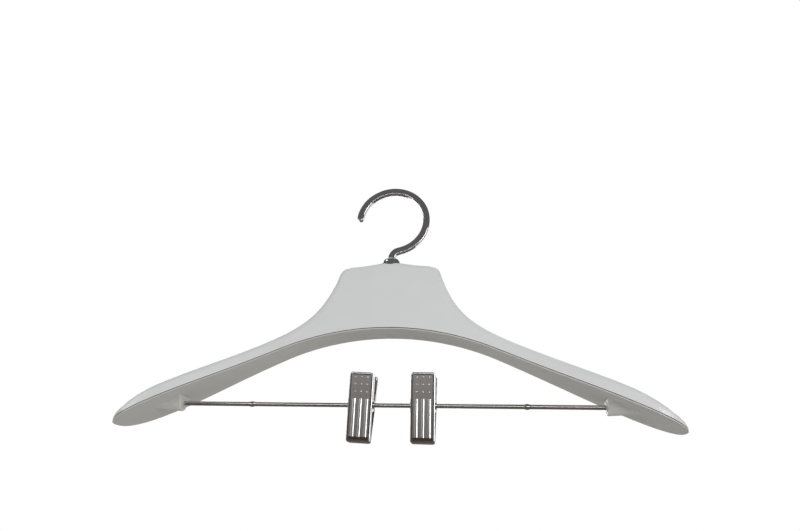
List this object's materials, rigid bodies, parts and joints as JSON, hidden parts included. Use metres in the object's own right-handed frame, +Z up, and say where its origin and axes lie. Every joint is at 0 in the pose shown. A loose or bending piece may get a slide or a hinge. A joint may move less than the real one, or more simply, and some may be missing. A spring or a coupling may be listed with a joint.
{
  "type": "trouser hanger",
  "caption": "Wide-shouldered coat hanger with a swivel hook, a trouser bar and sprung clips that slide along the bar, swing on it and open.",
  "frame": {"origin": "centre of the hook's eye, in the middle plane of the hanger", "axes": "+X along the shoulders to the right as seen from the front, -Y to the front, +Z up along the swivel axis"},
  "size_m": [0.4418, 0.0506, 0.2231],
  "materials": {
    "shell_plastic": "satin white moulding",
    "cover_plastic": "fine matt white moulding",
    "bush_plastic": "plain dark moulding",
    "hook_chrome": "bright chrome",
    "bar_chrome": "bright chrome",
    "clip_chrome": "chrome with a satin panel",
    "hardware_steel": "plain steel",
    "spring_steel": "drawn spring wire",
    "pad_rubber": "black rubber"
  },
  "bodies": {
    "hook_unit": {"hook": "hook_chrome", "retaining_ring": "hardware_steel", "hook_washer": "hardware_steel"},
    "frame": {"upper_shell": "shell_plastic", "bottom_cover": "cover_plastic", "hook_collar": "hook_chrome", "swivel_bush": "bush_plastic", "trouser_bar": "bar_chrome"},
    "left_sleeve": {"left_clip_sleeve": "clip_chrome"},
    "left_back": {"left_clip_back_plate": "clip_chrome", "left_clip_back_pad": "pad_rubber", "left_clip_spring": "spring_steel"},
    "left_front": {"left_clip_front_plate": "clip_chrome", "left_clip_front_pad": "pad_rubber"},
    "right_sleeve": {"right_clip_sleeve": "clip_chrome"},
    "right_back": {"right_clip_back_plate": "clip_chrome", "right_clip_back_pad": "pad_rubber", "right_clip_spring": "spring_steel"},
    "right_front": {"right_clip_front_plate": "clip_chrome", "right_clip_front_pad": "pad_rubber"}
  },
  "joints": [
    {"name": "hook_swivel", "type": "hinge", "parent": "hook_unit", "child": "frame", "pos_m": [0, 0, 0], "axis": [0, 0, 1], "continuous": true},
    {"name": "left_clip_slide", "type": "slide", "parent": "frame", "child": "left_sleeve", "axis": [1, 0, 0], "range_m": [-0.0767, 0.0082]},
    {"name": "left_clip_swing", "type": "hinge", "parent": "left_sleeve", "child": "left_back", "pos_m": [-0.0189, 0, -0.1615], "axis": [1, 0, 0], "range_deg": [-90, 90]},
    {"name": "left_clip_opening", "type": "hinge", "parent": "left_back", "child": "left_front", "pos_m": [-0.0189, 0, -0.1615], "axis": [-1, 0, 0], "range_deg": [0, 26], "stiffness_Nm_per_rad": 0.25, "springref_deg": -40.11, "deforming": ["left_clip_spring"]},
    {"name": "right_clip_slide", "type": "slide", "parent": "frame", "child": "right_sleeve", "axis": [1, 0, 0], "range_m": [-0.0191, 0.0658]},
    {"name": "right_clip_swing", "type": "hinge", "parent": "right_sleeve", "child": "right_back", "pos_m": [0.0298, 0, -0.1615], "axis": [1, 0, 0], "range_deg": [-90, 90]},
    {"name": "right_clip_opening", "type": "hinge", "parent": "right_back", "child": "right_front", "pos_m": [0.0298, 0, -0.1615], "axis": [-1, 0, 0], "range_deg": [0, 26], "stiffness_Nm_per_rad": 0.25, "springref_deg": -40.11, "deforming": ["right_clip_spring"]}
  ]
}
